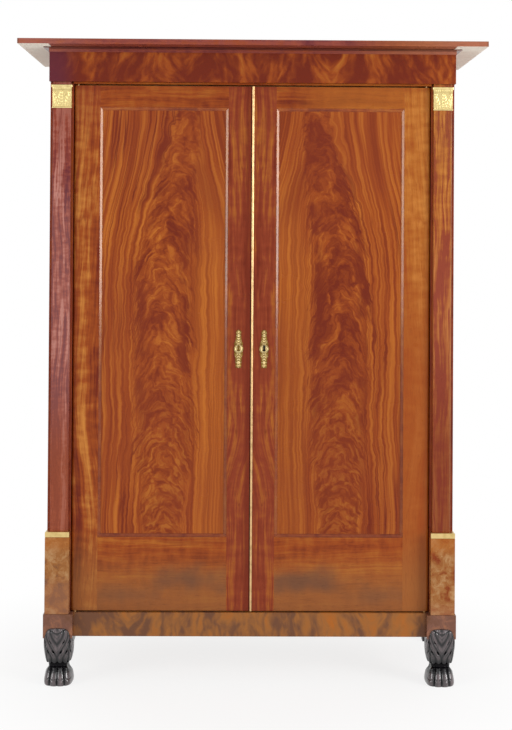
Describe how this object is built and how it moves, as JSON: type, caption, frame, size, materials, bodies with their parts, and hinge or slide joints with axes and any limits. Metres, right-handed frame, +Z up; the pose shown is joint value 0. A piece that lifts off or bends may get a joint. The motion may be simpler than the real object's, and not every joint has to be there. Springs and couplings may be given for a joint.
{
  "type": "clothes press",
  "caption": "Tall clothes press with framed and panelled doors on pivot hinges, pilasters with gilt capitals, a flat cornice, inner shelves, a lock, door bolts and lion-paw feet.",
  "frame": {"origin": "on the floor, under the middle of the press's bounding box", "axes": "+Z up, the doors face -Y, +X to the right of someone who looks at the doors"},
  "size_m": [1.548, 0.619, 2.14],
  "materials": {
    "mahogany": "french polished",
    "red_mahogany": "french polished",
    "crotch_veneer": "french polished crotch veneer",
    "carcass_softwood": "planed",
    "ebonised_wood": "ebonised and polished",
    "gilt_brass": "fire gilt",
    "polished_brass": "polished",
    "lock_iron": "blackened wrought iron"
  },
  "bodies": {
    "carcass": {"left_side_frame": "mahogany", "right_side_frame": "mahogany", "left_pilaster": "mahogany", "right_pilaster": "mahogany", "plinth_side_rails": "mahogany", "cornice_board": "red_mahogany", "bed_moulding": "red_mahogany", "left_front_stile": "red_mahogany", "right_front_stile": "red_mahogany", "frieze_front": "crotch_veneer", "frieze_returns": "crotch_veneer", "head_rail": "crotch_veneer", "left_side_panels": "crotch_veneer", "right_side_panels": "crotch_veneer", "left_pedestal": "crotch_veneer", "right_pedestal": "crotch_veneer", "plinth_front_rail": "crotch_veneer", "left_base_block": "crotch_veneer", "right_base_block": "crotch_veneer", "top_board": "carcass_softwood", "bottom_board": "carcass_softwood", "back_frame": "carcass_softwood", "back_panels": "carcass_softwood", "plinth_back_rail": "carcass_softwood", "shelf_1": "carcass_softwood", "shelf_2": "carcass_softwood", "shelf_3": "carcass_softwood", "shelf_4": "carcass_softwood", "shelf_bearers": "carcass_softwood", "left_paw_foot": "ebonised_wood", "right_paw_foot": "ebonised_wood", "rear_feet": "ebonised_wood", "left_capital": "gilt_brass", "right_capital": "gilt_brass", "pedestal_collars": "gilt_brass", "carcass_pivots": "polished_brass", "bolt_keepers": "polished_brass"},
    "left_door": {"left_hinge_stile": "mahogany", "left_meeting_stile": "red_mahogany", "left_top_rail": "mahogany", "left_bottom_rail": "mahogany", "left_door_panel": "crotch_veneer", "left_panel_moulding": "mahogany", "left_escutcheon": "gilt_brass", "left_pivot_plates": "polished_brass", "lock_keeper": "lock_iron", "bolt_guides": "polished_brass"},
    "right_door": {"right_hinge_stile": "mahogany", "right_meeting_stile": "red_mahogany", "right_top_rail": "mahogany", "right_bottom_rail": "mahogany", "right_door_panel": "crotch_veneer", "right_panel_moulding": "mahogany", "right_escutcheon": "gilt_brass", "right_pivot_plates": "polished_brass", "meeting_strip": "polished_brass", "lock_case": "lock_iron"},
    "lock_bolt": {"lock_bolt": "lock_iron"},
    "top_bolt": {"top_bolt": "polished_brass"},
    "bottom_bolt": {"bottom_bolt": "polished_brass"}
  },
  "joints": [
    {"name": "left_door_hinge", "type": "hinge", "parent": "carcass", "child": "left_door", "pos_m": [-0.5875, -0.1815, 1.1], "axis": [0, 0, -1], "range_deg": [0, 95]},
    {"name": "right_door_hinge", "type": "hinge", "parent": "carcass", "child": "right_door", "pos_m": [0.5875, -0.1815, 1.1], "axis": [0, 0, 1], "range_deg": [0, 95]},
    {"name": "lock_bolt_slide", "type": "slide", "parent": "right_door", "child": "lock_bolt", "axis": [-1, 0, 0], "range_m": [0, 0.014]},
    {"name": "top_bolt_slide", "type": "slide", "parent": "left_door", "child": "top_bolt", "axis": [0, 0, 1], "range_m": [0, 0.014]},
    {"name": "bottom_bolt_slide", "type": "slide", "parent": "left_door", "child": "bottom_bolt", "axis": [0, 0, -1], "range_m": [0, 0.014]}
  ]
}
